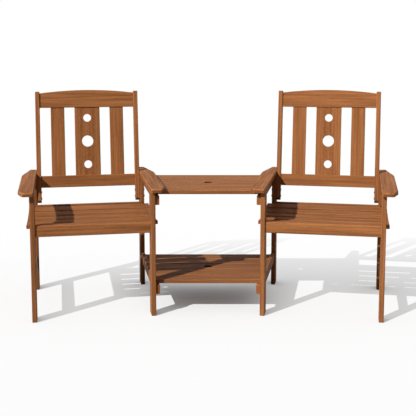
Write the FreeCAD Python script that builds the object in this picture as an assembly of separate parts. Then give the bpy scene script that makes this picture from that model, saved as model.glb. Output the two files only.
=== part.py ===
import FreeCAD, Part
import math
import os
from FreeCAD import Vector

# Companion seat bench: two armchairs turned a little towards each other, joined by a
# slatted table and a slatted shelf that share the chairs' inner side frames.
# Millimetres, +Z up, +Y to the rear. The origin is on the ground, in the middle of
# the bench's outer box.

# How the two chairs stand
toe_in = 10.1                # degrees that each chair turns towards the table
table_bay = 458.0            # between the inner side frames, at their front corners

# Side frames: two legs, an arm rail, a seat rail and a low stretcher
chair_width = 540.0          # over a chair's two side frames
leg_thickness = 21.0
leg_depth = 64.0
leg_height = 558.0
leg_clear = 427.0            # front leg's back to rear leg's front
rail_thickness = 15.0        # flush with the legs' outer faces
arm_rail_height = 19.0
stretcher_bottom = 119.0
stretcher_height = 46.0
tenon_length = 12.0
tenon_side_shoulder = 3.0
tenon_edge_shoulder = 4.0

# Armrest boards
arm_thickness = 16.0
arm_overhang = 48.0          # outwards from the side frame
arm_nose = 24.0              # in front of the front leg
arm_tail = 88.0              # behind the rear leg
arm_nose_cut_across = 20.0
arm_nose_cut_along = 66.0
arm_tail_cut_across = 33.0
arm_tail_cut_along = 173.0
arm_top_chamfer = 4.0
arm_corner_round = 9.0

# Seat: a front apron and a rear rail on edge, and slats in a shallow dish
seat_height = 424.0
apron_height = 48.0
apron_thickness = 21.0
apron_setback = 7.5          # behind the front legs' front faces
rear_rail_height = 48.0
rear_rail_thickness = 21.0
dish_depth = 16.0
slat_count = 5
slat_width = 66.0
slat_thickness = 16.0
slat_overhang = 17.0         # past the side frames
first_slat_gap = 16.5        # behind the apron
last_slat_gap = 9.0          # in front of the rear rail
notch_clearance = 0.5
seat_rail_drop = 68.0        # from the seat's height to the seat rails' lower edges
apron_tenon_length = 12.0
rear_rail_tenon_length = 8.0

# Backrest: two stiles, an arched top rail, a lower rail and three upright slats
recline = 9.0                # degrees from upright
stile_thickness = 21.0
stile_depth = 32.0
stile_length = 541.0
stile_foot_rise = 8.0        # stile's foot over the seat's height
stile_foot_back = 0.0        # stile's foot behind the rear leg's front face
back_rail_thickness = 20.0
back_rail_setback = 6.0      # behind the stiles' front faces
lower_rail_start = 73.0      # up the stile from its foot
lower_rail_height = 57.0
top_rail_end_height = 70.0
top_rail_drop = 8.0          # from the stiles' tops to the rail's ends
top_rail_rise = 14.5
back_slat_thickness = 12.0
side_back_slat_width = 66.0
centre_back_slat_width = 122.0
side_back_slat_gap = 52.0    # stile to side slat
back_tenon_length = 12.0
back_tenon_thickness = 8.0
large_hole_diameter = 55.0
small_hole_diameter = 38.0
hole_spacing = 114.0

# Table and shelf between the inner side frames
board_thickness = 17.0
side_board_count = 2         # in front of, and behind, the bored middle board
board_gap = 5.0
board_end_clearance = 1.0
bay_centre = 260.0           # behind the inner legs' front corners
table_clearance = 1.0        # tabletop under the armrests
table_depth = 428.0
shelf_top_height = 155.0
shelf_depth = 448.0
batten_thickness = 18.0
batten_height = 41.0
batten_front_inset = 8.0     # from the front leg's front face
batten_nut_clearance = 4.0   # in front of the backrest's nuts
parasol_hole_diameter = 37.0

# Edges of the boards
edge_chamfer = 2.0
end_chamfer = 1.2
foot_chamfer = 2.0

# Bolts and nuts that hold the backrest to the rear legs
bolt_diameter = 6.0
bolt_hole_diameter = 6.6
across_flats = 10.0
bolt_head_height = 2.5
nut_thickness = 3.0
bolt_reach = 0.5             # past its nut
bolt_above_foot = 20.0       # up the stile
bolt_below_rail = 22.0       # under the backrest's lower rail

# Worked out from the sizes above
rear_leg_front = leg_depth + leg_clear
seat_rail_bottom = seat_height - seat_rail_drop
table_top_height = leg_height - table_clearance
frame_depth = rear_leg_front + leg_depth
seat_front = apron_setback
seat_back = rear_leg_front
seat_middle = (seat_front + seat_back) / 2
dish_radius = ((seat_back - seat_front) ** 2 / 4 + dish_depth ** 2) / (2 * dish_depth)
dish_centre_height = seat_height - dish_depth + dish_radius
first_slat_centre = apron_setback + apron_thickness + first_slat_gap + slat_width / 2
last_slat_centre = rear_leg_front - rear_rail_thickness - last_slat_gap - slat_width / 2
slat_pitch = (last_slat_centre - first_slat_centre) / (slat_count - 1)
stile_foot = rear_leg_front + stile_foot_back
stile_foot_height = seat_height + stile_foot_rise
top_rail_start = stile_length - top_rail_drop - top_rail_end_height
back_clear_start = leg_thickness + stile_thickness
lower_rail_top = lower_rail_start + lower_rail_height
nut_corner = across_flats / 2 / math.cos(math.pi / 6)
splay = math.radians(toe_in)

X_AXIS = Vector(1, 0, 0)
Y_AXIS = Vector(0, 1, 0)
Z_AXIS = Vector(0, 0, 1)
MATCH = 0.01                 # how near two places count as one


# Boards, their edges and their holes

def box(x0, x1, y0, y1, z0, z1):
    return Part.makeBox(x1 - x0, y1 - y0, z1 - z0, Vector(x0, y0, z0))


def cylinder(diameter, length, start, direction):
    return Part.makeCylinder(diameter / 2, length, start, direction)


def plate(outline, direction):
    """A flat piece whose outline is a closed list of points, as thick as direction."""
    return Part.Face(Part.makePolygon(outline + [outline[0]])).extrude(direction)


def spans(edge):
    bounds = edge.BoundBox
    return Vector(bounds.XLength, bounds.YLength, bounds.ZLength)


def edges_along(shape, axis):
    """The straight edges of a board that run along one axis."""
    found = []
    for edge in shape.Edges:
        span = spans(edge)
        along = span.dot(axis)
        if along > MATCH and (span - axis * along).Length < MATCH:
            found.append(edge)
    return found


def edges_at(shape, axis, place):
    """The edges of a board that lie in one plane across an axis."""
    found = []
    for edge in shape.Edges:
        offset = edge.CenterOfMass.dot(axis) - place
        if spans(edge).dot(axis) < MATCH and abs(offset) < MATCH:
            found.append(edge)
    return found


def long_board(axis, x0, x1, y0, y1, z0, z1):
    """A board along an axis, with chamfered long edges."""
    board = box(x0, x1, y0, y1, z0, z1)
    return board.makeChamfer(edge_chamfer, edges_along(board, axis))


def chamfer_ends(board, axis, places, size):
    for place in places:
        board = board.makeChamfer(size, edges_at(board, axis, place))
    return board


def mirrored_in_chair(shape):
    """The same piece on the other side of a chair."""
    return shape.mirror(Vector(chair_width / 2, 0, 0), X_AXIS)


def both_ends(shape):
    return [shape, mirrored_in_chair(shape)]


# Side frame, in a chair's own axes: X across from the outer frame's outer face, Y back
# from the front legs' front faces

def tenons(z0, z1):
    """The stub tenons at a rail's two ends."""
    stubs = []
    for y in (leg_depth - tenon_length, rear_leg_front):
        stubs.append(box(
            tenon_side_shoulder, rail_thickness - tenon_side_shoulder,
            y, y + tenon_length,
            z0 + tenon_edge_shoulder, z1 - tenon_edge_shoulder,
        ))
    return stubs


def seat_rail_top(y):
    """Height of the seat rail's top edge, under the slats' dish."""
    radius = dish_radius + slat_thickness
    return dish_centre_height - math.sqrt(radius ** 2 - (y - seat_middle) ** 2)


def seat_rail_body():
    """A rail whose top edge is hollowed to the seat's dish."""
    middle = leg_depth + leg_clear / 2
    front_foot = Vector(0, leg_depth, seat_rail_bottom)
    rear_foot = Vector(0, rear_leg_front, seat_rail_bottom)
    front_top = Vector(0, leg_depth, seat_rail_top(leg_depth))
    rear_top = Vector(0, rear_leg_front, seat_rail_top(rear_leg_front))
    hollow = Vector(0, middle, seat_rail_top(middle))
    edges = [
        Part.LineSegment(front_foot, rear_foot).toShape(),
        Part.LineSegment(rear_foot, rear_top).toShape(),
        Part.Arc(rear_top, hollow, front_top).toShape(),
        Part.LineSegment(front_top, front_foot).toShape(),
    ]
    return Part.Face(Part.Wire(edges)).extrude(Vector(rail_thickness, 0, 0))


def armrest():
    """An arm board with a clipped nose and a long taper at its tail."""
    outer = -arm_overhang
    inner = leg_thickness
    nose = -arm_nose
    tail = frame_depth + arm_tail
    outline = [
        Vector(inner, nose, leg_height),
        Vector(inner, tail, leg_height),
        Vector(outer + arm_tail_cut_across, tail, leg_height),
        Vector(outer, tail - arm_tail_cut_along, leg_height),
        Vector(outer, nose + arm_nose_cut_along, leg_height),
        Vector(outer + arm_nose_cut_across, nose, leg_height),
    ]
    board = plate(outline, Vector(0, 0, arm_thickness))
    board = board.makeFillet(arm_corner_round, edges_along(board, Z_AXIS))
    return board.makeChamfer(arm_top_chamfer, edges_at(board, Z_AXIS, leg_height + arm_thickness))


def side_frame():
    """The six pieces of a chair's outer side frame."""
    arm_rail_bottom = leg_height - arm_rail_height
    stretcher_top = stretcher_bottom + stretcher_height
    seat_rail_shoulder = min(seat_rail_top(leg_depth), seat_rail_top(rear_leg_front))
    arm_tenons = tenons(arm_rail_bottom, leg_height)
    seat_tenons = tenons(seat_rail_bottom, seat_rail_shoulder)
    stretcher_tenons = tenons(stretcher_bottom, stretcher_top)

    arm_rail = long_board(Y_AXIS, 0, rail_thickness, leg_depth, rear_leg_front,
                          arm_rail_bottom, leg_height)
    stretcher = long_board(Y_AXIS, 0, rail_thickness, leg_depth, rear_leg_front,
                           stretcher_bottom, stretcher_top)
    front_leg = long_board(Z_AXIS, 0, leg_thickness, 0, leg_depth, 0, leg_height)
    rear_leg = long_board(Z_AXIS, 0, leg_thickness, rear_leg_front, frame_depth, 0, leg_height)
    front_leg = chamfer_ends(front_leg, Z_AXIS, [0], foot_chamfer)
    rear_leg = chamfer_ends(rear_leg, Z_AXIS, [0], foot_chamfer)

    mortises = arm_tenons + seat_tenons + stretcher_tenons
    return {
        "front_leg": front_leg.cut(mortises + apron_tenons()),
        "rear_leg": rear_leg.cut(mortises + bolt_holes()),
        "arm_rail": arm_rail.fuse(arm_tenons),
        "seat_rail": seat_rail_body().fuse(seat_tenons).cut(rear_rail_tenons()),
        "stretcher": stretcher.fuse(stretcher_tenons),
        "armrest": armrest(),
    }


# Seat

def seat_slat(number):
    """A slat whose two lower edges rest on the hollow of the seat rails."""
    centre = first_slat_centre + number * slat_pitch
    tilt = math.asin((centre - seat_middle) / dish_radius)
    half = slat_width / 2
    under = math.sqrt((dish_radius + slat_thickness) ** 2 - half ** 2)
    ends = [-slat_overhang, chair_width + slat_overhang]
    slat = long_board(X_AXIS, *ends, -half, half, -under, slat_thickness - under)
    slat = chamfer_ends(slat, X_AXIS, ends, end_chamfer)
    pivot = Vector(0, seat_middle, dish_centre_height)
    slat.translate(pivot)
    slat.rotate(pivot, X_AXIS, math.degrees(tilt))
    return slat


def front_leg_notches():
    """The corners that the front slat leaves for the two front legs."""
    return both_ends(box(-2 * slat_overhang, leg_thickness + notch_clearance,
                         0, leg_depth + notch_clearance, seat_rail_bottom, leg_height))


def apron_tenons():
    """The apron's stub tenons, into the front legs."""
    return both_ends(box(leg_thickness - apron_tenon_length, leg_thickness,
                         apron_setback + tenon_edge_shoulder,
                         apron_setback + apron_thickness - tenon_edge_shoulder,
                         seat_height - apron_height + tenon_edge_shoulder,
                         seat_height - tenon_edge_shoulder))


def front_apron():
    apron = long_board(X_AXIS, leg_thickness, chair_width - leg_thickness,
                       apron_setback, apron_setback + apron_thickness,
                       seat_height - apron_height, seat_height)
    return apron.fuse(apron_tenons())


def rear_rail_tenons():
    """The rear rail's stub tenons, into the seat rails and clear of their hollow edge."""
    front = rear_leg_front - rear_rail_thickness
    return both_ends(box(rail_thickness - rear_rail_tenon_length, rail_thickness,
                         front + tenon_edge_shoulder, rear_leg_front - tenon_edge_shoulder,
                         seat_height - rear_rail_height + tenon_edge_shoulder,
                         seat_rail_top(front) - tenon_edge_shoulder))


def rear_rail():
    rail = long_board(X_AXIS, rail_thickness, chair_width - rail_thickness,
                      rear_leg_front - rear_rail_thickness, rear_leg_front,
                      seat_height - rear_rail_height, seat_height)
    return rail.fuse(rear_rail_tenons())


# Backrest, drawn upright on its foot and then leaned back

def lean(shape):
    """Puts a piece drawn upright, foot at the origin, into the leaning backrest."""
    foot = Vector(0, stile_foot, stile_foot_height)
    leaned = shape.copy()
    leaned.translate(foot)
    leaned.rotate(foot, X_AXIS, -recline)
    return leaned


def back_tenon(x0, x1, z0, z1):
    """A stub tenon in the middle of the backrest's thickness."""
    middle = back_rail_setback + back_rail_thickness / 2
    half = back_tenon_thickness / 2
    return box(x0, x1, middle - half, middle + half, z0, z1)


def rail_tenons(z0, z1):
    """The tenons at both ends of a back rail."""
    return both_ends(back_tenon(back_clear_start - back_tenon_length, back_clear_start,
                                z0 + tenon_edge_shoulder, z1 - tenon_edge_shoulder))


def slat_tenons(x0, x1):
    """The tenons at the foot and the head of an upright slat."""
    edges = x0 + tenon_edge_shoulder, x1 - tenon_edge_shoulder
    return [
        back_tenon(*edges, lower_rail_top - back_tenon_length, lower_rail_top),
        back_tenon(*edges, top_rail_start, top_rail_start + back_tenon_length),
    ]


def back_slat_spans():
    """Left and right edge of the outer, centre and inner upright slats."""
    outer = back_clear_start + side_back_slat_gap
    inner = chair_width - outer
    middle = chair_width / 2
    return {
        "outer_back_slat": (outer, outer + side_back_slat_width),
        "centre_back_slat": (middle - centre_back_slat_width / 2, middle + centre_back_slat_width / 2),
        "inner_back_slat": (inner - side_back_slat_width, inner),
    }


def back_slat_holes():
    """Three round holes through the centre slat, the largest in the middle."""
    middle = (lower_rail_top + top_rail_start) / 2
    holes = [cylinder(large_hole_diameter, stile_depth, Vector(chair_width / 2, 0, middle), Y_AXIS)]
    for height in (middle - hole_spacing, middle + hole_spacing):
        holes.append(cylinder(small_hole_diameter, stile_depth,
                              Vector(chair_width / 2, 0, height), Y_AXIS))
    return holes


def top_rail_body():
    """A rail with a straight lower edge and an arched upper edge."""
    x0 = back_clear_start
    x1 = chair_width - x0
    y = back_rail_setback
    z = top_rail_start + top_rail_end_height
    apex = Vector(chair_width / 2, y, z + top_rail_rise)
    edges = [
        Part.LineSegment(Vector(x0, y, top_rail_start), Vector(x1, y, top_rail_start)).toShape(),
        Part.LineSegment(Vector(x1, y, top_rail_start), Vector(x1, y, z)).toShape(),
        Part.Arc(Vector(x1, y, z), apex, Vector(x0, y, z)).toShape(),
        Part.LineSegment(Vector(x0, y, z), Vector(x0, y, top_rail_start)).toShape(),
    ]
    rail = Part.Face(Part.Wire(edges)).extrude(Vector(0, back_rail_thickness, 0))
    arched = [e for e in rail.Edges if e.Curve.TypeId == "Part::GeomCircle"]
    return rail.makeChamfer(edge_chamfer, arched)


def backrest():
    """The seven pieces of a backrest, in place."""
    middle = back_rail_setback + back_rail_thickness / 2
    front = middle - back_slat_thickness / 2
    rear = middle + back_slat_thickness / 2
    slats = {}
    slat_ends = []
    for name, (x0, x1) in back_slat_spans().items():
        slat = long_board(Z_AXIS, x0, x1, front, rear, lower_rail_top, top_rail_start)
        slats[name] = slat.fuse(slat_tenons(x0, x1))
        slat_ends += slat_tenons(x0, x1)
    slats["centre_back_slat"] = slats["centre_back_slat"].cut(back_slat_holes())

    lower_tenons = rail_tenons(lower_rail_start, lower_rail_top)
    top_tenons = rail_tenons(top_rail_start, top_rail_start + top_rail_end_height)
    lower_rail = long_board(X_AXIS, back_clear_start, chair_width - back_clear_start,
                            back_rail_setback, back_rail_setback + back_rail_thickness,
                            lower_rail_start, lower_rail_top)
    stile = long_board(Z_AXIS, leg_thickness, back_clear_start, 0, stile_depth, 0, stile_length)
    stile = chamfer_ends(stile, Z_AXIS, [0, stile_length], end_chamfer)

    pieces = {
        "top_rail": lean(top_rail_body().fuse(top_tenons).cut(slat_ends)),
        "lower_rail": lean(lower_rail.fuse(lower_tenons).cut(slat_ends)),
    }
    for name, slat in slats.items():
        pieces[name] = lean(slat)
    mortised = lean(stile.cut(lower_tenons + top_tenons)).cut(bolt_holes())
    pieces["outer_stile"] = mortised
    pieces["inner_stile"] = mirrored_in_chair(mortised)
    return pieces


# Bolts through a stile and a rear leg

def bolt_starts():
    """Where the bolts enter a stile, on its inner face and along its middle."""
    angle = math.radians(recline)
    half = stile_depth / 2
    foot = Vector(back_clear_start, stile_foot + half * math.cos(angle),
                  stile_foot_height - half * math.sin(angle))
    up = Vector(0, math.sin(angle), math.cos(angle))
    return [foot + up * bolt_above_foot, foot + up * (lower_rail_start - bolt_below_rail)]


def bolt_holes():
    return [cylinder(bolt_hole_diameter, back_clear_start, start, -X_AXIS) for start in bolt_starts()]


def hexagon(centre, thickness):
    """A hexagon across X, from its centre on one face towards the chair's outside."""
    turns = [math.radians(60 * step) for step in range(6)]
    outline = [centre + Vector(0, nut_corner * math.cos(t), nut_corner * math.sin(t)) for t in turns]
    return plate(outline, Vector(-thickness, 0, 0))


def bolts():
    """Bolts whose heads bear on the stile's inner face."""
    length = back_clear_start + nut_thickness + bolt_reach
    shapes = []
    for start in bolt_starts():
        head = hexagon(start + X_AXIS * bolt_head_height, bolt_head_height)
        shapes.append(head.fuse(cylinder(bolt_diameter, length, start, -X_AXIS)))
    return shapes


def nuts():
    """Nuts on the rear leg's outer face."""
    shapes = []
    for start, hole in zip(bolt_starts(), bolt_holes()):
        face = Vector(0, start.y, start.z)
        bore = hole.translated(Vector(-nut_thickness, 0, 0))
        shapes.append(hexagon(face, nut_thickness).cut(bore))
    return shapes


# Table and shelf, in the axes of the bay between the chairs: X across from its middle,
# Y back from the inner legs' front corners

def bay_board(y0, y1, top):
    """A board across the bay, its ends cut along the splayed side frames."""
    slack = board_end_clearance / math.cos(splay)
    front = table_bay / 2 + y0 * math.tan(splay) - slack
    rear = table_bay / 2 + y1 * math.tan(splay) - slack
    bottom = top - board_thickness
    outline = [
        Vector(-front, y0, bottom),
        Vector(front, y0, bottom),
        Vector(rear, y1, bottom),
        Vector(-rear, y1, bottom),
    ]
    board = plate(outline, Vector(0, 0, board_thickness))
    return board.makeChamfer(edge_chamfer, edges_along(board, X_AXIS))


def bay_boards(top, depth):
    """The bored middle board and the plain boards of a table or shelf."""
    count = 2 * side_board_count + 1
    width = (depth - (count - 1) * board_gap) / count
    boards = []
    for number in range(count):
        y0 = bay_centre - depth / 2 + number * (width + board_gap)
        boards.append(bay_board(y0, y0 + width, top))
    bore = cylinder(parasol_hole_diameter, board_thickness,
                    Vector(0, bay_centre, top - board_thickness), Z_AXIS)
    bored = boards.pop(side_board_count).cut(bore)
    return bored, Part.makeCompound(boards)


def batten(top):
    """A batten on the table side of a left chair's inner frame, in the chair's axes."""
    nearest_bolt = min(start.y for start in bolt_starts())
    ends = [batten_front_inset, nearest_bolt - nut_corner - batten_nut_clearance]
    body = long_board(Y_AXIS, chair_width, chair_width + batten_thickness, *ends,
                      top - batten_height, top)
    return chamfer_ends(body, Y_AXIS, ends, end_chamfer)


# From a chair's own axes to the bench's

def to_left_chair(shape):
    """Turns a piece of a chair and sets its inner frame's front corner at the bay."""
    placed = shape.copy()
    placed.translate(Vector(-chair_width, 0, 0))
    placed.rotate(Vector(0, 0, 0), Z_AXIS, toe_in)
    placed.translate(Vector(-table_bay / 2, 0, 0))
    return placed


def to_right_chair(shape):
    return to_left_chair(shape).mirror(Vector(0, 0, 0), X_AXIS)


def chair_pieces():
    """Every piece of wood in one chair, in the chair's axes."""
    pieces = {}
    for name, shape in side_frame().items():
        pieces["outer_" + name] = shape
        pieces["inner_" + name] = mirrored_in_chair(shape)
    pieces["front_apron"] = front_apron()
    pieces["rear_rail"] = rear_rail()
    pieces["front_seat_slat"] = seat_slat(0).cut(front_leg_notches())
    pieces["seat_slats"] = Part.makeCompound([seat_slat(n) for n in range(1, slat_count)])
    pieces.update(backrest())
    return pieces


def fasteners():
    """The bolts and nuts of one chair's outer side, each kind by itself."""
    return {"backrest_bolts": bolts(), "backrest_nuts": nuts()}


def build():
    """All nodes of the bench by name."""
    nodes = {}
    for name, shape in chair_pieces().items():
        nodes["left_" + name] = to_left_chair(shape)
        nodes["right_" + name] = to_right_chair(shape)

    for name, top, depth in (
        ("table", table_top_height, table_depth),
        ("shelf", shelf_top_height, shelf_depth),
    ):
        nodes[name + "_bored_board"], nodes[name + "_boards"] = bay_boards(top, depth)
        nodes["left_" + name + "_batten"] = to_left_chair(batten(top - board_thickness))
        nodes["right_" + name + "_batten"] = to_right_chair(batten(top - board_thickness))

    for name, shapes in fasteners().items():
        placed = []
        for shape in shapes:
            for end in both_ends(shape):
                placed += [to_left_chair(end), to_right_chair(end)]
        nodes[name] = Part.makeCompound(placed)
    return nodes


def centre_on_ground(nodes):
    """Moves the bench so that the origin is in the middle of its box, on the ground."""
    whole = FreeCAD.BoundBox()
    for shape in nodes.values():
        whole.add(shape.optimalBoundingBox(False, False))
    shift = Vector(-whole.Center.x, -whole.Center.y, -whole.ZMin)
    for shape in nodes.values():
        shape.translate(shift)
    return whole


def main():
    nodes = build()
    whole = centre_on_ground(nodes)
    os.makedirs("parts", exist_ok=True)
    for name, shape in nodes.items():
        shape.exportStep(os.path.join("parts", name + ".step"))
    print(len(nodes), "nodes,", sum(len(s.Solids) for s in nodes.values()), "solids")
    print("box", round(whole.XLength, 2), round(whole.YLength, 2), round(whole.ZLength, 2))


main()
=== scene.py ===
# %% [markdown]
# # A companion seat bench
#
# The bench is two slatted armchairs that are turned a little towards each other, with a
# slatted table and a slatted shelf between them. It is planed hardwood under one reddish
# brown stain, held together by browned steel bolts, nuts and screws.
#
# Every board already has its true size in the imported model. This lesson loads those boards,
# gives them a wood finish whose grain runs along each board, adds the screws, and sets up
# the floor, the lamp and the camera.

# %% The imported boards
import math

import bmesh
import bpy
from mathutils import Matrix, Vector
from mathutils.bvhtree import BVHTree


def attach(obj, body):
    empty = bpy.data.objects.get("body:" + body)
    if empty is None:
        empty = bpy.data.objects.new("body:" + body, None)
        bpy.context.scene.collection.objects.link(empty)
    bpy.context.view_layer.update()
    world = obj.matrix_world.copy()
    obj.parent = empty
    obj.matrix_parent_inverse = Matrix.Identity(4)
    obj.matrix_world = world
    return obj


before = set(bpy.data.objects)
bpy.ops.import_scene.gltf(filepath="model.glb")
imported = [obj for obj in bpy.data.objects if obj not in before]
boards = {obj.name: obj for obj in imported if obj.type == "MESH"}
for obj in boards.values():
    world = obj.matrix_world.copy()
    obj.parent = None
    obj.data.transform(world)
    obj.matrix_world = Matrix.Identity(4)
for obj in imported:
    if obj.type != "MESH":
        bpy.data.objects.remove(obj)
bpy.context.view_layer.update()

# %% [markdown]
# ## Directions in the bench
#
# Wood is understood along its grain. A board's finish needs three directions: along the
# grain, across the board's wide face, and through its thickness. The chairs are toed in and
# their backs recline, so these directions aren't the world's axes. They could be read from
# each mesh, but two angles say everything, so each direction is worked out from them.

# %% Directions of a chair
TOE_IN = math.radians(10.1)
RECLINE = math.radians(9)
RIGHTWARD = Vector((1, 0, 0))
REARWARD = Vector((0, 1, 0))
UPWARD = Vector((0, 0, 1))
CHAIR_TURN = {"left": TOE_IN, "right": -TOE_IN}


def chair_directions(side):
    """A chair's directions: across it, to its rear, up its leaning back, and through that."""
    turn = Matrix.Rotation(CHAIR_TURN[side], 3, "Z")
    rear = turn @ REARWARD
    return {
        "across": turn @ RIGHTWARD,
        "rear": rear,
        "up_back": rear * math.sin(RECLINE) + UPWARD * math.cos(RECLINE),
        "through_back": rear * math.cos(RECLINE) - UPWARD * math.sin(RECLINE),
    }


for side in CHAIR_TURN:
    for name, direction in chair_directions(side).items():
        print(side, name, tuple(round(part, 3) for part in direction))


# %% Measuring a board along a direction
def reach(node, direction):
    """The least and the greatest distance of a board's corners along a direction."""
    along = [vertex.co.dot(direction) for vertex in boards[node].data.vertices]
    return min(along), max(along)


def middle(node, direction):
    return sum(reach(node, direction)) / 2


def breadth(node, direction):
    start, end = reach(node, direction)
    return end - start


front_slat = breadth("left_front_seat_slat", chair_directions("left")["rear"])
print("the left front seat slat is", round(1000 * front_slat), "mm wide")

# %% [markdown]
# ## Building blocks for the finishes
#
# A procedural material is a tree of small nodes. Wiring them by hand takes three lines a
# node, so a few helpers make a node, set or link its sockets, and hand back its result. They
# are plain functions, and any Blender node can be made with them.

# %% Helpers for shader nodes
def feed(tree, socket, source):
    """Links a socket to another one, or sets its value."""
    if isinstance(source, bpy.types.NodeSocket):
        tree.links.new(source, socket)
    else:
        socket.default_value = source


def add_node(tree, kind, inputs=None, **settings):
    """A new node; inputs are its sockets by name or number, settings its properties."""
    made = tree.nodes.new(kind)
    for name, value in settings.items():
        setattr(made, name, value)
    for name, source in (inputs or {}).items():
        feed(tree, made.inputs[name], source)
    return made


def calculate(tree, operation, *values):
    inputs = dict(enumerate(values))
    return add_node(tree, "ShaderNodeMath", inputs, operation=operation).outputs[0]


def calculate_vector(tree, operation, *values):
    inputs = dict(enumerate(values))
    made = add_node(tree, "ShaderNodeVectorMath", inputs, operation=operation)
    gives_number = operation in ("DOT_PRODUCT", "DISTANCE", "LENGTH")
    return made.outputs["Value" if gives_number else "Vector"]


def split(tree, vector):
    return add_node(tree, "ShaderNodeSeparateXYZ", {0: vector}).outputs


def join(tree, *parts):
    return add_node(tree, "ShaderNodeCombineXYZ", dict(enumerate(parts))).outputs[0]


kinds = [name for name in dir(bpy.types) if name.startswith("ShaderNode")]
print("there are", len(kinds), "kinds of shader node to choose from")


# %% Helpers for noise and colour
MOST_NOISE = (0.3, 0.7)


def ease(tree, value, low, high, to_low=0.0, to_high=1.0):
    """A value moved smoothly from one range to another, and held at its ends."""
    inputs = {"Value": value, "From Min": low, "From Max": high,
              "To Min": to_low, "To Max": to_high}
    made = add_node(tree, "ShaderNodeMapRange", inputs, interpolation_type="SMOOTHSTEP")
    return made.outputs[0]


def blend_colours(tree, factor, first, second):
    inputs = {0: factor, 6: first, 7: second}
    return add_node(tree, "ShaderNodeMix", inputs, data_type="RGBA").outputs[2]


def noise(tree, place, stretch, detail, roughness=0.5):
    """Noise between 0 and 1; stretch is its waves a metre along each of three directions."""
    scaled = calculate_vector(tree, "MULTIPLY", place, stretch)
    inputs = {"Vector": scaled, "Scale": 1.0, "Detail": detail, "Roughness": roughness}
    return add_node(tree, "ShaderNodeTexNoise", inputs).outputs["Fac"]


def seen_colour(red, green, blue):
    """A colour written as a screen shows it, 0 to 255, as the shader's linear colour."""
    parts = [c / 255 for c in (red, green, blue)]
    linear = [p / 12.92 if p <= 0.04045 else ((p + 0.055) / 1.055) ** 2.4 for p in parts]
    return (*linear, 1.0)


mid_brown = seen_colour(156, 104, 66)
print("a mid brown is", [round(part, 3) for part in mid_brown], "in linear light")

# %% Helpers for node groups and materials
NUMBER = "NodeSocketFloat"
DIRECTION = "NodeSocketVector"


def start_group(name, inputs, outputs):
    """A shader node group with named sockets, its input sockets and its output sockets."""
    group = bpy.data.node_groups.new(name, "ShaderNodeTree")
    for label, kind, value in inputs:
        socket = group.interface.new_socket(name=label, in_out="INPUT", socket_type=kind)
        if value is not None:
            socket.default_value = value
    for label, kind in outputs:
        group.interface.new_socket(name=label, in_out="OUTPUT", socket_type=kind)
    sources = group.nodes.new("NodeGroupInput").outputs
    results = group.nodes.new("NodeGroupOutput").inputs
    return group, sources, results


def place_group(tree, group, inputs):
    """A group's copy in a material, with its sockets fed; gives its output sockets."""
    return add_node(tree, "ShaderNodeGroup", inputs, node_tree=group).outputs


def new_finish(name):
    """A material, its node tree and its main shader."""
    finish = bpy.data.materials.new(name)
    finish.use_nodes = True
    return finish, finish.node_tree, finish.node_tree.nodes["Principled BSDF"]


def add_bump(tree, surface, height, strength, distance):
    """Raises a surface by a height, as its shader sees it."""
    inputs = {"Strength": strength, "Distance": distance, "Height": height}
    bump = add_node(tree, "ShaderNodeBump", inputs)
    feed(tree, surface.inputs["Normal"], bump.outputs["Normal"])


print("a group's sockets are of the kinds", NUMBER, "and", DIRECTION)

# %% [markdown]
# ## Grain
#
# Sawn wood shows three scales at once: broad streaks where the growth rings are cut at a
# slant, fine lines along the fibres, and short dark pores. A picture of wood would repeat and
# stretch, so the grain is made of noise that is pulled out along the board. The rings are
# true rings round a pith that lies outside the board, bent by slow noise, which gives arches
# on a flat-sawn face and straight lines on an edge with no extra work. Some boards also carry
# a figure, small dark ripples among the fibres, so the group has a number for it.

# %% Measures of the grain
RING_PITCH = 0.0062
PITH_ASIDE = 0.030
PITH_BELOW = 0.075
RING_WANDER = 0.034
SLOW_BENDS = {"stretch": (1.3, 6, 6), "detail": 2.0}
BROAD_STREAKS = {"stretch": (1.6, 30, 30), "detail": 3.0, "roughness": 0.6}
FIBRES = {"stretch": (3.5, 120, 120), "detail": 4.0, "roughness": 0.65}
RIPPLES = {"stretch": (210, 150, 60), "detail": 1.0}
PORES = {"stretch": (60, 1500, 1500), "detail": 1.0}
RIPPLE_RANGE = (0.42, 0.62)
PORE_RANGE = (0.60, 0.72)
STREAK_SHARE = 0.28
RING_SHARE = 0.18
FIBRE_SHARE = 0.52
BOARD_SHIFT = (3.1, 0.7, 0.9)
print("growth rings lie", 1000 * RING_PITCH, "mm apart")


# %% Growth rings
def growth_rings(group, along_board, place):
    """Waves between 0 and 1 round the pith, which slow noise bends."""
    bend = calculate(group, "SUBTRACT", noise(group, place, **SLOW_BENDS), 0.5)
    parts = split(group, along_board)
    aside = calculate(group, "ADD", parts["Y"], PITH_ASIDE)
    below = calculate(group, "ADD", parts["Z"], PITH_BELOW)
    squares = calculate(group, "ADD", calculate(group, "POWER", aside, 2.0),
                        calculate(group, "POWER", below, 2.0))
    radius = calculate(group, "ADD", calculate(group, "SQRT", squares),
                       calculate(group, "MULTIPLY", bend, RING_WANDER))
    turns = calculate(group, "MULTIPLY", radius, 2 * math.pi / RING_PITCH)
    return calculate(group, "MULTIPLY_ADD", calculate(group, "SINE", turns), 0.5, 0.5)


print("the pith lies", round(1000 * math.hypot(PITH_ASIDE, PITH_BELOW)), "mm from the middle")


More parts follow.
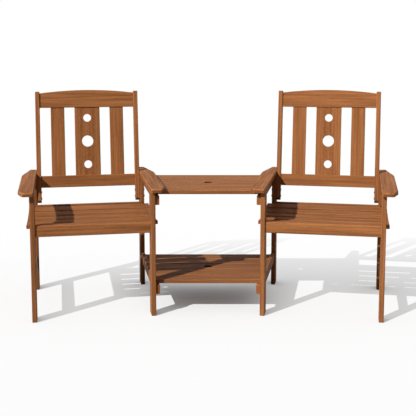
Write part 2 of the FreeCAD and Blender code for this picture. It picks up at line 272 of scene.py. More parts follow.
# %% The grain group
def grain_group():
    group, source, result = start_group(
        "Sawn grain",
        [("Place", DIRECTION, None), ("Board", NUMBER, 0.0), ("Figure", NUMBER, 0.0)],
        [("Grain", NUMBER), ("Pores", NUMBER), ("Height", NUMBER)],
    )
    shift = [calculate(group, "MULTIPLY", source["Board"], size) for size in BOARD_SHIFT]
    place = calculate_vector(group, "ADD", source["Place"], join(group, *shift))
    rings = growth_rings(group, source["Place"], place)
    streaks = ease(group, noise(group, place, **BROAD_STREAKS), *MOST_NOISE)
    fibres = noise(group, place, **FIBRES)
    ripples = ease(group, noise(group, place, **RIPPLES), *RIPPLE_RANGE)
    pores = ease(group, noise(group, place, **PORES), *PORE_RANGE)

    mixed = calculate(group, "MULTIPLY", streaks, STREAK_SHARE)
    mixed = calculate(group, "MULTIPLY_ADD", rings, RING_SHARE, mixed)
    mixed = calculate(group, "MULTIPLY_ADD", ease(group, fibres, *MOST_NOISE),
                      FIBRE_SHARE, mixed)
    mixed = calculate(group, "SUBTRACT", mixed,
                      calculate(group, "MULTIPLY", ripples, source["Figure"]))
    feed(group, result["Grain"], mixed)
    feed(group, result["Pores"], pores)
    feed(group, result["Height"], calculate(group, "SUBTRACT", fibres, pores))
    return group


GRAIN = grain_group()
print(GRAIN.name, "has", len(GRAIN.nodes), "nodes")

# %% [markdown]
# ## End grain
#
# Where a board is cut across, its fibres stand open like straws. They drink the stain, so
# the ends of slats and boards are darker and duller than their faces. The place to darken is
# found from the surface's own direction: it is end grain where that points along the fibres.
# The group also darkens the wood about a centimetre in from a sawn end, and a little way round
# a bored hole. Part of this is stain that creeps in there, and part is painted shade: the dark
# line at the stiles' feet and the dark inside of the bores. So the group is told where a board
# starts and stops along its grain, and where its bore is. A board with neither is told that
# they are far away.

# %% The end grain group
END_FACING = (0.8, 0.95)
END_SPECKLE = {"stretch": (0, 650, 650), "detail": 2.0}
SOAK_AND_SHADE_REACH = 0.015
SOAK_AND_SHADE_FULL = 0.0075
BORE_SHARE = 10.0
FAR_AWAY = 100.0
NO_ENDS = (-FAR_AWAY, FAR_AWAY)
NO_BORE = ((FAR_AWAY, FAR_AWAY, 0.0), 0.0)


def end_grain_and_shade_group():
    group, source, result = start_group(
        "End grain and shade",
        [("Place", DIRECTION, None), ("Facing", DIRECTION, None),
         ("Start", NUMBER, NO_ENDS[0]), ("Stop", NUMBER, NO_ENDS[1]),
         ("Bore Place", DIRECTION, NO_BORE[0]), ("Bore Radius", NUMBER, NO_BORE[1])],
        [("Mask", NUMBER), ("Soak And Shade", NUMBER), ("Speckle", NUMBER)],
    )
    facing = calculate(group, "ABSOLUTE", split(group, source["Facing"])["X"])
    along = split(group, source["Place"])["X"]
    from_end = calculate(group, "MINIMUM",
                         calculate(group, "SUBTRACT", along, source["Start"]),
                         calculate(group, "SUBTRACT", source["Stop"], along))
    level = calculate_vector(group, "MULTIPLY", source["Place"], (1.0, 1.0, 0.0))
    from_axis = calculate_vector(group, "DISTANCE", level, source["Bore Place"])
    from_bore = calculate(group, "SUBTRACT", from_axis, source["Bore Radius"])
    nearest = calculate(group, "MINIMUM", from_end,
                        calculate(group, "MULTIPLY", from_bore, BORE_SHARE))
    feed(group, result["Mask"], ease(group, facing, *END_FACING))
    # Soak And Shade: darker near a sawn end or a bore, partly soaked stain and partly painted
    # shade
    feed(group, result["Soak And Shade"], ease(group, nearest, SOAK_AND_SHADE_FULL, SOAK_AND_SHADE_REACH, 1.0, 0.0))
    feed(group, result["Speckle"], noise(group, source["Place"], **END_SPECKLE))
    return group


END_GRAIN_AND_SHADE = end_grain_and_shade_group()
print(END_GRAIN_AND_SHADE.name, "has", len(END_GRAIN_AND_SHADE.nodes), "nodes")

# %% [markdown]
# ## Worn edges, with a painted highlight
#
# Hands, shoes and sandpaper thin the stain on the narrow chamfers first, and never evenly. The
# lighter chamfers also paint the highlight that rounded edges catch. A chamfer faces none of
# the board's three directions squarely, so the greatest of the three parts of its direction is
# small there. Noise then breaks the line up.

# %% The edge wear group
CHAMFER_FACING = (0.88, 0.75)
WEAR_PATCHES = {"stretch": (9, 45, 45), "detail": 4.0}
WEAR_RANGE = (0.35, 0.65)


def edge_wear_and_highlight_group():
    group, source, result = start_group(
        "Edge wear and highlight",
        [("Place", DIRECTION, None), ("Facing", DIRECTION, None), ("Amount", NUMBER, 0.5)],
        [("Mask", NUMBER)],
    )
    parts = split(group, calculate_vector(group, "ABSOLUTE", source["Facing"]))
    widest = calculate(group, "MAXIMUM", parts["X"],
                       calculate(group, "MAXIMUM", parts["Y"], parts["Z"]))
    chamfer = ease(group, widest, *CHAMFER_FACING)
    patches = ease(group, noise(group, source["Place"], **WEAR_PATCHES), *WEAR_RANGE)
    amount = calculate(group, "MULTIPLY", patches, source["Amount"])
    feed(group, result["Mask"], calculate(group, "MULTIPLY", chamfer, amount))
    return group


EDGE_WEAR_AND_HIGHLIGHT = edge_wear_and_highlight_group()
print(EDGE_WEAR_AND_HIGHLIGHT.name, "has", len(EDGE_WEAR_AND_HIGHLIGHT.nodes), "nodes")

# %% [markdown]
# ## Sheen
#
# A rubbed stain is satin, a little glossier where it lies thick and duller where the wood
# drank it. Slow noise moves the roughness over the surface. The metal parts use the same
# group with other limits, for the dull bloom that a browned coat gets outdoors.

# %% The sheen group
def sheen_group():
    group, source, result = start_group(
        "Uneven sheen",
        [("Place", DIRECTION, None), ("Patches", DIRECTION, (9.0, 30.0, 30.0)),
         ("Glossy", NUMBER, 0.4), ("Dull", NUMBER, 0.6)],
        [("Roughness", NUMBER)],
    )
    patches = noise(group, source["Place"], source["Patches"], detail=3.0, roughness=0.55)
    spread = calculate(group, "SUBTRACT", source["Dull"], source["Glossy"])
    sheen = calculate(group, "MULTIPLY_ADD", patches, spread, source["Glossy"])
    feed(group, result["Roughness"], sheen)
    return group


SHEEN = sheen_group()
print(SHEEN.name, "has", len(SHEEN.nodes), "nodes")

# %% [markdown]
# ## The stained hardwood
#
# One recipe serves every board: stain between two browns by the grain, darken pores and ends,
# with painted shade at the stiles' feet and round the bores, lighten worn chamfers, which also
# paints a highlight on the edges, and give each board its own depth of stain, because no two
# boards take it alike. Only the directions differ, so a function makes the finish for one way
# that boards lie. Nodes that hold several boards count them by their place across the grain.

# %% Where a point lies in its board
ONE_BOARD = (-5.0, 10.0)
OBJECT_STEP = 11.0


def in_board(tree, vector, directions):
    """A position or a normal, measured along a board's grain, width and thickness."""
    parts = [calculate_vector(tree, "DOT_PRODUCT", vector, tuple(d)) for d in directions]
    return join(tree, *parts)


def board_number(tree, across, first_edge, pitch):
    """A number for each board, from its object and from its place across the grain."""
    own = add_node(tree, "ShaderNodeObjectInfo").outputs["Random"]
    steps = calculate(tree, "DIVIDE", calculate(tree, "SUBTRACT", across, first_edge), pitch)
    return calculate(tree, "MULTIPLY_ADD", own, OBJECT_STEP, calculate(tree, "FLOOR", steps))


print("a board alone in its node has a share of", ONE_BOARD[1], "m, so it counts as one")

# %% Browns of the stain
LIGHT_STAIN = seen_colour(182, 119, 71)
DARK_STAIN = seen_colour(106, 62, 34)
PORE_AND_SHADE_BROWN = seen_colour(68, 37, 20)
END_STAIN = seen_colour(126, 76, 42)
WORN_AND_HIGHLIT_STAIN = seen_colour(178, 118, 74)
PORE_DEPTH = 0.45
END_DEPTH = (0.55, 0.9)
SOAK_AND_SHADE_DEPTH = 0.9
BOARD_TONES = (0.97, 1.03)


def stain_colour(tree, grain, ends, wear, contrast):
    """The stain of a board; a lower contrast brings the grain nearer to its mean."""
    shown = calculate(tree, "MULTIPLY_ADD", grain["Grain"], contrast, 0.5 - 0.5 * contrast)
    pores = calculate(tree, "MULTIPLY", grain["Pores"], PORE_DEPTH)
    end_depth = ease(tree, ends["Speckle"], *MOST_NOISE, *END_DEPTH)
    cut_end = calculate(tree, "MULTIPLY", ends["Mask"], end_depth)
    soak_and_shade = calculate(tree, "MULTIPLY", ends["Soak And Shade"], SOAK_AND_SHADE_DEPTH)
    colour = blend_colours(tree, shown, DARK_STAIN, LIGHT_STAIN)
    colour = blend_colours(tree, pores, colour, PORE_AND_SHADE_BROWN)
    colour = blend_colours(tree, cut_end, colour, END_STAIN)
    # painted shade at the stiles' feet and round the bores, mixed with soaked stain, in the
    # pore brown
    colour = blend_colours(tree, soak_and_shade, colour, PORE_AND_SHADE_BROWN)
    # worn chamfers, lighter also as a painted highlight on the edges
    return blend_colours(tree, wear["Mask"], colour, WORN_AND_HIGHLIT_STAIN)


def own_tone(tree, board, colour, strength):
    """The stain a little lighter or darker, by the number of the board."""
    random = add_node(tree, "ShaderNodeTexWhiteNoise", {"W": board}, noise_dimensions="1D")
    low, high = BOARD_TONES
    # strength scales the tone; on the rear legs and rear rails it also paints shade
    tone = ease(tree, random.outputs["Value"], 0.0, 1.0, low * strength, high * strength)
    shade = add_node(tree, "ShaderNodeHueSaturation", {"Value": tone, "Color": colour})
    return shade.outputs["Color"]


print("stain runs from", DARK_STAIN, "to", LIGHT_STAIN)

# %% The wood finish
SATIN_LEVEL = 0.05
WOOD_SHEEN = {"Glossy": 0.48, "Dull": 0.70}
END_DULLNESS = 0.15
PORE_DULLNESS = 0.10
END_RELIEF = 1.5
WOOD_BUMP = {"strength": 0.35, "distance": 0.0003}
FIGURE_REACH = 0.052
FIGURE_FULL = 0.6 * FIGURE_REACH


def wood_finish(name, directions, spaced=ONE_BOARD, strength=1.0, contrast=1.0,
                wear_amount=0.5, ends_at=NO_ENDS, bore=NO_BORE,
                figure=0.0, figure_middle=0.0):
    """Stained hardwood for boards that lie along three directions."""
    finish, tree, surface = new_finish(name)
    surface.inputs["Specular IOR Level"].default_value = SATIN_LEVEL

    where = add_node(tree, "ShaderNodeTexCoord").outputs
    place = in_board(tree, where["Object"], directions)
    facing = in_board(tree, where["Normal"], directions)
    across = split(tree, place)["Y"]
    board = board_number(tree, across, *spaced)
    aside = calculate(tree, "ABSOLUTE", calculate(tree, "SUBTRACT", across, figure_middle))
    rippled = ease(tree, aside, FIGURE_FULL, FIGURE_REACH, figure, 0.0)

    grain = place_group(tree, GRAIN, {"Place": place, "Board": board, "Figure": rippled})
    ends = place_group(tree, END_GRAIN_AND_SHADE, {"Place": place, "Facing": facing,
                                         "Start": ends_at[0], "Stop": ends_at[1],
                                         "Bore Place": bore[0], "Bore Radius": bore[1]})
    wear = place_group(tree, EDGE_WEAR_AND_HIGHLIGHT, {"Place": place, "Facing": facing,
                                         "Amount": wear_amount})
    sheen = place_group(tree, SHEEN, {"Place": place, **WOOD_SHEEN})
    colour = stain_colour(tree, grain, ends, wear, contrast)
    feed(tree, surface.inputs["Base Color"], own_tone(tree, board, colour, strength))

    rough = calculate(tree, "MULTIPLY_ADD", ends["Mask"], END_DULLNESS, sheen["Roughness"])
    rough = calculate(tree, "MULTIPLY_ADD", grain["Pores"], PORE_DULLNESS, rough)
    feed(tree, surface.inputs["Roughness"], rough)
    straws = calculate(tree, "MULTIPLY", ends["Mask"], ends["Speckle"])
    height = calculate(tree, "MULTIPLY_ADD", straws, END_RELIEF, grain["Height"])
    add_bump(tree, surface, height, **WOOD_BUMP)
    return finish


print("a figure fades out", round(1000 * FIGURE_REACH), "mm from the middle of its board")


# %% Putting a finish on a board
def wear_finish(node, finish):
    """Gives a packed board its finish, on the object's own slot."""
    for slot in boards[node].material_slots:
        slot.link = "OBJECT"
        slot.material = finish


slots = sum(len(board.material_slots) for board in boards.values())
print("the bench has", slots, "slots for finishes")

# %% [markdown]
# ## Finishing the chairs
#
# A carpenter sorts a chair's boards by how they lie: slats across the seat, rails across the
# leaning back, rails from front to back, upright legs. Each lot gets one finish whose grain
# runs along it. The other chair is a mirror image, so the same loop serves both. Lots differ
# in how light their stain is and how clearly their grain shows, and the rear legs and rear
# rails are made darker to paint the shade they stand in. The wide centre slat has a rippled
# figure, the stiles' lower ends are darkened, partly as soaked-up stain and partly as painted
# shade, and the armrests' edges get the most wear and painted highlight.

# %% The lots of boards in a chair
FRAMES = ("outer", "inner")


def lots_of_boards(side):
    """For each lot: its boards, and their grain, width and thickness directions."""
    way = chair_directions(side)
    across, rear = way["across"], way["rear"]
    up_back, through_back = way["up_back"], way["through_back"]

    def in_frames(*names):
        return [frame_name + "_" + name for name in names for frame_name in FRAMES]

    side_rails = in_frames("arm_rail", "seat_rail", "stretcher")
    return {
        "seat": (["front_seat_slat", "seat_slats"], (across, rear, UPWARD)),
        "apron": (["front_apron"], (across, UPWARD, rear)),
        "rear_rail": (["rear_rail"], (across, UPWARD, rear)),
        "top_rail": (["top_rail"], (across, up_back, through_back)),
        "lower_rail": (["lower_rail"], (across, up_back, through_back)),
        "back_slats": (in_frames("back_slat"), (up_back, across, through_back)),
        "centre_slat": (["centre_back_slat"], (up_back, across, through_back)),
        "stiles": (in_frames("stile"), (up_back, through_back, across)),
        "front_legs": (in_frames("front_leg"), (UPWARD, rear, across)),
        "rear_legs": (in_frames("rear_leg"), (UPWARD, rear, across)),
        "side_rails": (side_rails, (rear, UPWARD, across)),
        "armrests": (in_frames("armrest"), (rear, across, UPWARD)),
    }


print("a chair has", len(lots_of_boards("left")), "lots of boards")


# %% Counting the boards in a node
def spacing(single, several, count, direction):
    """Where the first of several boards' share of the width starts, and their pitch."""
    width = breadth(single, direction)
    start, end = reach(several, direction)
    pitch = (end - start - width) / (count - 1)
    return start - (pitch - width) / 2, pitch


SLATS_IN_NODE = 4


def seat_spacing(side):
    return spacing(side + "_front_seat_slat", side + "_seat_slats", SLATS_IN_NODE,
                   chair_directions(side)["rear"])


for side in CHAIR_TURN:
    print(side, "seat slats lie", round(1000 * seat_spacing(side)[1], 1), "mm apart")

# %% How light each lot's stain is, with painted shade on the rear legs and rear rails
STAIN_AND_SHADE_STRENGTH = {
    "seat": {"left": 0.90, "right": 0.92},
    "apron": {"left": 1.0, "right": 1.12},
    # darker here as painted shade behind the seat
    "rear_rail": {"left": 0.78, "right": 0.88},
    "top_rail": {"left": 1.0, "right": 1.02},
    "lower_rail": {"left": 0.87, "right": 0.95},
    "back_slats": {"left": 0.99, "right": 1.03},
    "centre_slat": {"left": 0.93, "right": 1.05},
    "stiles": {"left": 0.97, "right": 0.98},
    "front_legs": {"left": 0.87, "right": 1.02},
    # darker here as painted shade under the arms and the back
    "rear_legs": {"left": 0.76, "right": 0.86},
    "side_rails": {"left": 0.88, "right": 0.88},
    "armrests": {"left": 0.90, "right": 0.98},
}
GRAIN_CONTRAST = {"top_rail": 0.85, "lower_rail": 0.70, "back_slats": 0.75, "apron": 0.90,
                  "centre_slat": 0.75, "front_legs": 0.80}
print("the lightest stain is", max(max(lot.values()) for lot in STAIN_AND_SHADE_STRENGTH.values()),
      "times the written brown")

# %% Finishes on the chairs
CENTRE_SLAT_FIGURE = 0.26
# the armrests' edges get more of the lightening: wear, and a painted highlight
ARM_WEAR_AND_HIGHLIGHT = 0.85


def lot_options(side, lot, names, directions):
    """What sets the finish of one lot apart from the others."""
    options = {"strength": STAIN_AND_SHADE_STRENGTH[lot][side], "contrast": GRAIN_CONTRAST.get(lot, 1.0)}
    if lot == "seat":
        options["spaced"] = seat_spacing(side)
    # the stiles' feet darken, partly as soaked stain and partly as painted shade
    if lot == "stiles":
        options["ends_at"] = (reach(side + "_" + names[0], directions[0])[0], FAR_AWAY)
    if lot == "centre_slat":
        options["figure"] = CENTRE_SLAT_FIGURE
        options["figure_middle"] = middle(side + "_" + names[0], directions[1])
    if lot == "armrests":
        options["wear_amount"] = ARM_WEAR_AND_HIGHLIGHT
    return options


for side in CHAIR_TURN:
    for lot, (names, directions) in lots_of_boards(side).items():
        options = lot_options(side, lot, names, directions)
        finish = wood_finish(side + "_" + lot + "_wood", directions, **options)
        for name in names:
            wear_finish(side + "_" + name, finish)
        print(finish.name, "is on", *names)

# %% [markdown]
# ## Finishing the table and the shelf
#
# Their boards run straight across the bay, side by side, with a batten under each end that
# follows the chair beside it. The middle board has a hole for a parasol pole. It is a node of
# its own, and the four plain boards share another, so their finish counts them.

# %% Finding the bore of a board
LEVELS = ("table", "shelf")


def bore_of(level):
    """The middle and the radius of the hole in the table's or the shelf's middle board."""
    node = level + "_bored_board"
    axis = Vector((0.0, middle(node, REARWARD), 0.0))
    flat = Vector((1, 1, 0))
    nearest = min((v.co * flat - axis).length for v in boards[node].data.vertices)
    return tuple(axis), nearest


for level in LEVELS:
    print(level, "bore's radius is", round(1000 * bore_of(level)[1], 1), "mm")

# %% Boards of the table and the shelf
BAY_BOARDS = 5
BAY_STRENGTH = {"table": 0.91, "shelf": 0.80}
BAY_CONTRAST = {"table": 0.80, "shelf": 1.10}


def bay_spacing(level):
    return spacing(level + "_bored_board", level + "_boards", BAY_BOARDS, REARWARD)


for level in LEVELS:
    # the bore darkens the wood round the hole: end grain, and painted shade inside it
    finish = wood_finish(level + "_wood", (RIGHTWARD, REARWARD, UPWARD),
                         spaced=bay_spacing(level), strength=BAY_STRENGTH[level],
                         contrast=BAY_CONTRAST[level], bore=bore_of(level))
    for name in ("_bored_board", "_boards"):
        wear_finish(level + name, finish)
    print(level, "boards lie", round(1000 * bay_spacing(level)[1], 1), "mm apart")

# %% Battens of the table and the shelf
BATTEN_STRENGTH = {"left": 1.0, "right": 1.3}

for side, strength in BATTEN_STRENGTH.items():
    way = chair_directions(side)
    finish = wood_finish(side + "_batten_wood", (way["rear"], UPWARD, way["across"]),
                         strength=strength)
    for level in LEVELS:
        wear_finish(side + "_" + level + "_batten", finish)
    print(finish.name, "is on", len(LEVELS), "battens")

# %% [markdown]
# ## Browned steel
#
# Bright screws would glitter in dark wood, so these are browned, with a thin dark coat that
# sinks them into the stain. It is metal all through, so Metallic is one plain number on the
# shader, and the cloudiness comes from noise in the colour, the roughness and a shallow bump.

# %% The browned steel finish
RUBBED_STEEL = seen_colour(128, 96, 70)
BROWNED_STEEL = seen_colour(84, 58, 40)
STEEL_CLOUDS = {"stretch": (420, 420, 420), "detail": 4.0, "roughness": 0.6}
STEEL_SHEEN = {"Patches": (300, 300, 300), "Glossy": 0.28, "Dull": 0.55}
STEEL_BUMP = {"strength": 0.2, "distance": 0.00005}


def steel_finish(name):
    finish, tree, surface = new_finish(name)
    surface.inputs["Metallic"].default_value = 1.0
    place = add_node(tree, "ShaderNodeTexCoord").outputs["Object"]
    clouds = noise(tree, place, **STEEL_CLOUDS)
    rubbed = ease(tree, clouds, *MOST_NOISE)
    feed(tree, surface.inputs["Base Color"],
         blend_colours(tree, rubbed, BROWNED_STEEL, RUBBED_STEEL))
    sheen = place_group(tree, SHEEN, {"Place": place, **STEEL_SHEEN})
    feed(tree, surface.inputs["Roughness"], sheen["Roughness"])
    add_bump(tree, surface, clouds, **STEEL_BUMP)
    return finish


STEEL = steel_finish("browned_steel")
for name in ("backrest_bolts", "backrest_nuts"):
    wear_finish(name, STEEL)
print(STEEL.name, "has", len(STEEL.node_tree.nodes), "nodes")

# %% [markdown]
# ## Screws
#
# The slats are screwed down to the hollowed rails, and the table and shelf are screwed from
# under their battens, so that their tops stay clean. Only the heads show. A head could be a
# disc, but the cross-shaped recess is what the eye looks for, so the mesh is a low dome round
# a cross. The outline of the cross has twelve corners, which sit thirty degrees apart, and the
# rings round it have twice as many points, so ring and cross join with no guessing.

# %% The shape of a screw head
HEAD_RADIUS = 0.0037
DOME_RADIUS = 0.0023
RIM_HEIGHT = 0.00015
DOME_HEIGHT = 0.0007
SUNK = 0.0006
RECESS_DEPTH = 0.0009
CROSS_CORNERS = 12
RING_POINTS = 2 * CROSS_CORNERS
HALF_STEP = math.radians(15)
RECESS_LENGTH = 0.0017
RECESS_HALF_WIDTH = RECESS_LENGTH * math.tan(HALF_STEP)


def cross_outline():
    """The twelve corners of the recess, anticlockwise."""
    arm = [(RECESS_LENGTH, RECESS_HALF_WIDTH), (RECESS_HALF_WIDTH, RECESS_HALF_WIDTH),
           (RECESS_HALF_WIDTH, RECESS_LENGTH)]
    corners = []
    for quarter in range(4):
        turn = Matrix.Rotation(quarter * math.pi / 2, 2)
        corners += [turn @ Vector(corner) for corner in arm]
    return corners


def ring_outline(radius):
    turns = [HALF_STEP + 2 * math.pi * step / RING_POINTS for step in range(RING_POINTS)]
    return [Vector((radius * math.cos(t), radius * math.sin(t))) for t in turns]


print("a head is", round(2000 * HEAD_RADIUS, 1), "mm wide")


# %% One screw head
def add_screw_head(mesh, placing):
    """A domed head with a cross-shaped recess; placing sets it on the wood, axis outwards."""
    def raised(outline, height):
        return [mesh.verts.new(placing @ Vector((p.x, p.y, height))) for p in outline]

    def wall(lower, upper):
        faces = []
        for i in range(len(lower)):
            beside = (i + 1) % len(lower)
            faces.append(mesh.faces.new((lower[i], lower[beside], upper[beside], upper[i])))
        return faces

    foot = raised(ring_outline(HEAD_RADIUS), -SUNK)
    rim = raised(ring_outline(HEAD_RADIUS), RIM_HEIGHT)
    dome = raised(ring_outline(DOME_RADIUS), DOME_HEIGHT)
    lip = raised(cross_outline(), DOME_HEIGHT)
    pit = raised(cross_outline(), DOME_HEIGHT - RECESS_DEPTH)
    wall(foot, rim)
    for face in wall(rim, dome):
        face.smooth = True
    wall(lip, pit)
    for i in range(CROSS_CORNERS):
        following = (i + 1) % CROSS_CORNERS
        nearest, between, beyond = dome[2 * i], dome[2 * i + 1], dome[2 * following]
        mesh.faces.new((nearest, between, lip[i]))
        mesh.faces.new((between, beyond, lip[following], lip[i]))
    mesh.faces.new(pit)
    mesh.faces.new(foot[::-1])


trial = bmesh.new()
add_screw_head(trial, Matrix.Identity(4))
print("a screw head has", len(trial.faces), "faces")
trial.free()

# %% Setting screws on the wood
HEAD_TURN = math.radians(67)


def put_in_scene(name, data):
    made = bpy.data.objects.new(name, data)
    bpy.context.scene.collection.objects.link(made)
    return made


def meet(node, start, direction):
    """Where a straight line from start first meets a board, and which way it faces there."""
    shape = boards[node].data
    tree = BVHTree.FromPolygons([vertex.co for vertex in shape.vertices],
                                [face.vertices for face in shape.polygons])
    return tree.ray_cast(start, direction)[:2]


def screw_lot(name, places):
    """One piece that holds a lot of screw heads, each turned further than the last."""
    mesh = bmesh.new()
    for number, (place, outward) in enumerate(places):
        axis = outward.to_track_quat("Z", "Y").to_matrix().to_4x4()
        twist = Matrix.Rotation(number * HEAD_TURN, 4, "Z")
        add_screw_head(mesh, Matrix.Translation(place) @ axis @ twist)
    data = bpy.data.meshes.new(name)
    mesh.normal_update()
    mesh.to_mesh(data)
    mesh.free()
    data.materials.append(STEEL)
    lot = put_in_scene(name, data)
    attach(lot, "root")
    print(name, "has", len(places), "screws")


print("each head is turned by", round(math.degrees(HEAD_TURN)), "degrees from the last")

# %% [markdown]
# ## Where the screws go
#
# Each slat has two screws over each seat rail. A ray dropped on the slat finds the wood, so
# the heads follow the dish of the seat, and where the front slat is notched round a leg the
# ray meets nothing and no screw is set. The battens' screws are found the same way from below.

# %% Seat screws
CLEAR = 0.1
CHAIR_SLATS = 5
SLAT_SHARES = (-0.25, 0.25)


def seat_screws(side):
    """Two screws through each seat slat into each seat rail."""
    way = chair_directions(side)
    first, pitch = seat_spacing(side)
    width = breadth(side + "_front_seat_slat", way["rear"])
    top = reach(side + "_front_apron", UPWARD)[1] + CLEAR
    found = []
    for number in range(CHAIR_SLATS):
        node = side + ("_seat_slats" if number else "_front_seat_slat")
        centre = first + (number - 0.5) * pitch
        for frame_name in FRAMES:
            rail = middle(side + "_" + frame_name + "_seat_rail", way["across"])
            for share in SLAT_SHARES:
                start = way["across"] * rail + way["rear"] * (centre + share * width)
                found.append(meet(node, start + UPWARD * top, -UPWARD))
    return [hit for hit in found if hit[0]]


for side in CHAIR_TURN:
    screw_lot(side + "_seat_screws", seat_screws(side))

# %% Table and shelf screws
BOARD_SHARES = (0.3, 0.7)


def batten_screws(level):
    """Two screws into each board, up through the battens."""
    first, pitch = bay_spacing(level)
    found = []
    for side in CHAIR_TURN:
        way = chair_directions(side)
        node = side + "_" + level + "_batten"
        aside = way["across"] * middle(node, way["across"])
        below = reach(node, UPWARD)[0] - CLEAR
        for number in range(BAY_BOARDS):
            for share in BOARD_SHARES:
                depth = first + (number + share) * pitch
                along = way["rear"] * ((depth - aside.y) / way["rear"].y)
                found.append(meet(node, aside + along + UPWARD * below, UPWARD))
    return [hit for hit in found if hit[0]]


for level in LEVELS:
    screw_lot(level + "_screws", batten_screws(level))

# %% Arm and leg screws
ARM_SHARES = (0.2, 0.8)
LEG_RISES = (-0.009, 0.009)


def arm_screws(side):
    """Two screws up through each arm rail into its armrest."""
    way = chair_directions(side)
    found = []
    for frame_name in FRAMES:
        node = side + "_" + frame_name + "_arm_rail"
        front, back = reach(node, way["rear"])
        below = reach(node, UPWARD)[0] - CLEAR
        for share in ARM_SHARES:
            start = way["across"] * middle(node, way["across"])
            start = start + way["rear"] * (front + share * (back - front))
            found.append(meet(node, start + UPWARD * below, UPWARD))
    return found


def leg_screws(side):
    """Two screws through each inner leg into the end of each batten."""
    rear, across = chair_directions(side)["rear"], chair_directions(side)["across"]
    to_bay = across if side == "left" else -across
    found = []
    for level in LEVELS:
        batten = side + "_" + level + "_batten"
        for leg in (side + "_inner_front_leg", side + "_inner_rear_leg"):
            overlap = [max(reach(batten, rear)[0], reach(leg, rear)[0]),
                       min(reach(batten, rear)[1], reach(leg, rear)[1])]
            for rise in LEG_RISES:
                start = to_bay * (reach(leg, to_bay)[0] - CLEAR)
                start = start + rear * (sum(overlap) / 2)
                start = start + UPWARD * (middle(batten, UPWARD) + rise)
                found.append(meet(leg, start, to_bay))
    return found


for side in CHAIR_TURN:
    screw_lot(side + "_arm_screws", arm_screws(side))
    screw_lot(side + "_leg_screws", leg_screws(side))

# %% [markdown]
# ## The floor
#
# A studio floor is a large pale sweep that shows the object's shadow and nothing else. The
# camera, and metal that mirrors the floor, see it part lit and part glowing, so that it reads
# as white while the shadow stays, and far off it glows fully and melts into the background.
# Behind the bench the glow grows sooner, which paints the long shadow lighter there. Under and
# beside the bench ambient occlusion dims the glow, which paints shade there.
# Every other ray meets an ordinary pale floor, so the glow adds no light to the bench.

# %% Measures of the floor
FLOOR_HALF = 30.0
SEEN_FLOOR = seen_colour(242, 242, 242)
PLAIN_FLOOR = seen_colour(168, 168, 168)
FLOOR_ROUGHNESS = 0.9
FLOOR_GLOSS = 0.1
NEAR_GLOW = 0.62
GLOW_STARTS = 1.6
GLOW_FULL = 5.0
FADE_STARTS = 0.2
FADE_FULL = 1.6
UNDER_REACH = 0.35
print("the floor glows fully", GLOW_FULL, "m away, and", FADE_FULL, "m to the rear")


# %% The floor's finish
def seeing_rays(tree):
    """One for rays that the camera sends out, straight or by way of metal or glass."""
    rays = add_node(tree, "ShaderNodeLightPath").outputs
    direct = calculate(tree, "MAXIMUM", rays["Is Camera Ray"], rays["Is Glossy Ray"])
    return calculate(tree, "MAXIMUM", direct, rays["Is Transmission Ray"])


def floor_finish():
    finish, tree, lit = new_finish("studio_floor")
    lit.inputs["Roughness"].default_value = FLOOR_ROUGHNESS
    lit.inputs["Specular IOR Level"].default_value = FLOOR_GLOSS
    seen = seeing_rays(tree)
    feed(tree, lit.inputs["Base Color"], blend_colours(tree, seen, PLAIN_FLOOR, SEEN_FLOOR))

    place = add_node(tree, "ShaderNodeTexCoord").outputs["Object"]
    far = calculate_vector(tree, "LENGTH", place)
    behind = split(tree, place)["Y"]
    # the glow grows to the rear: painted light on the far part of the shadow
    share = calculate(tree, "MAXIMUM",
                      ease(tree, far, GLOW_STARTS, GLOW_FULL, NEAR_GLOW, 1.0),
                      ease(tree, behind, FADE_STARTS, FADE_FULL, NEAR_GLOW, 1.0))
    # ambient occlusion dims the glow under and beside the bench: painted shade on the floor
    shade = add_node(tree, "ShaderNodeAmbientOcclusion", {"Distance": UNDER_REACH})
    share = calculate(tree, "MULTIPLY", share, shade.outputs["AO"])
    share = calculate(tree, "MULTIPLY", share, seen)
    glow = add_node(tree, "ShaderNodeEmission", {"Color": (1, 1, 1, 1), "Strength": 1.0})
    surface = add_node(tree, "ShaderNodeMixShader",
                       {0: share, 1: lit.outputs["BSDF"], 2: glow.outputs["Emission"]})
    feed(tree, tree.nodes["Material Output"].inputs["Surface"], surface.outputs["Shader"])
    return finish


FLOOR = floor_finish()
print(FLOOR.name, "has", len(FLOOR.node_tree.nodes), "nodes")

# %% Laying the floor
corners = [(-FLOOR_HALF, -FLOOR_HALF, 0), (FLOOR_HALF, -FLOOR_HALF, 0),
           (FLOOR_HALF, FLOOR_HALF, 0), (-FLOOR_HALF, FLOOR_HALF, 0)]
floor_mesh = bpy.data.meshes.new("floor")
floor_mesh.from_pydata(corners, [], [(0, 1, 2, 3)])
floor_mesh.materials.append(FLOOR)
floor = put_in_scene("floor", floor_mesh)
print("the floor is", 2 * FLOOR_HALF, "m wide")

# %% [markdown]
# ## Light
#
# One key lamp stands front left and high, and throws the bench's shadow to the right and to
# the rear. Its disc is just wide enough to soften the shadow's far end. The world fills the
# shade, more from above than from the sides, as a studio's ceiling does, and it is white
# wherever the camera or metal sees it. Key and fill together light a level board at about
# full strength, so a colour shows as it is written.

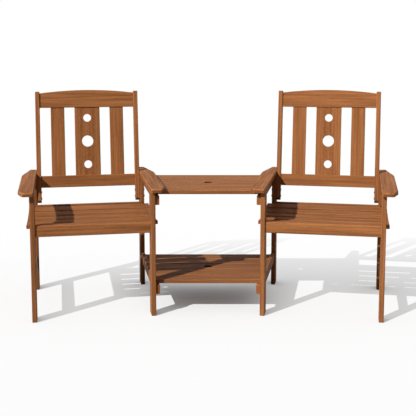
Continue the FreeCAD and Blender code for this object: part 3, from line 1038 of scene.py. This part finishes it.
# %% The key lamp
KEY_TRAVEL = Vector((0.903, 0.93, -1.0))
KEY_STRENGTH = 4.3
KEY_SOFTNESS = math.radians(0.6)

lamp = bpy.data.lights.new("key_lamp", "SUN")
lamp.energy = KEY_STRENGTH
lamp.angle = KEY_SOFTNESS
key = put_in_scene("key_lamp", lamp)
key.rotation_euler = KEY_TRAVEL.to_track_quat("-Z", "Y").to_euler()
key_height = math.asin(-KEY_TRAVEL.normalized().z)
print("the key lamp stands", round(math.degrees(key_height), 1), "degrees high")

# %% The fill
FILL_LOW = 0.08
FILL_HIGH = 0.28

world = bpy.data.worlds.new("studio")
world.use_nodes = True
bpy.context.scene.world = world
sky = world.node_tree
rise = split(sky, add_node(sky, "ShaderNodeTexCoord").outputs["Generated"])["Z"]
fill = ease(sky, rise, 0.0, 1.0, FILL_LOW, FILL_HIGH)
background = sky.nodes["Background"]
feed(sky, background.inputs["Color"], (1, 1, 1, 1))
feed(sky, background.inputs["Strength"], ease(sky, seeing_rays(sky), 0.0, 1.0, fill, 1.0))
level_light = KEY_STRENGTH * math.sin(key_height) / math.pi + (FILL_LOW + FILL_HIGH) / 2
print("light on a level board:", round(level_light, 2))

# %% [markdown]
# ## The camera
#
# The bench is seen straight on from a little over a metre up, through a long lens. Its upright
# lines stay nearly upright, which takes a camera that looks almost level, with the frame
# shifted down to hold the bench. The shift is kept small, and a slight tilt does the rest.

# %% Setting the camera
CAMERA_PLACE = (0.0, -3.8493, 1.216)
CAMERA_TILT = math.radians(7.48)
LENS = 72.47
SENSOR = 36.0
FRAME_SHIFT = -0.14

view = bpy.data.cameras.new("camera")
view.sensor_width = SENSOR
view.lens = LENS
view.shift_y = FRAME_SHIFT
camera = put_in_scene("camera", view)
camera.location = CAMERA_PLACE
camera.rotation_euler = (math.pi / 2 - CAMERA_TILT, 0, 0)
bpy.context.scene.camera = camera
bpy.context.scene.view_settings.view_transform = "Standard"
print("the camera stands", -CAMERA_PLACE[1], "m in front, at", CAMERA_PLACE[2], "m")

# %% [markdown]
# ## Sizes
#
# The boards keep the size they have in the imported model. The finished bench must fill
# the same box as the imported boards.
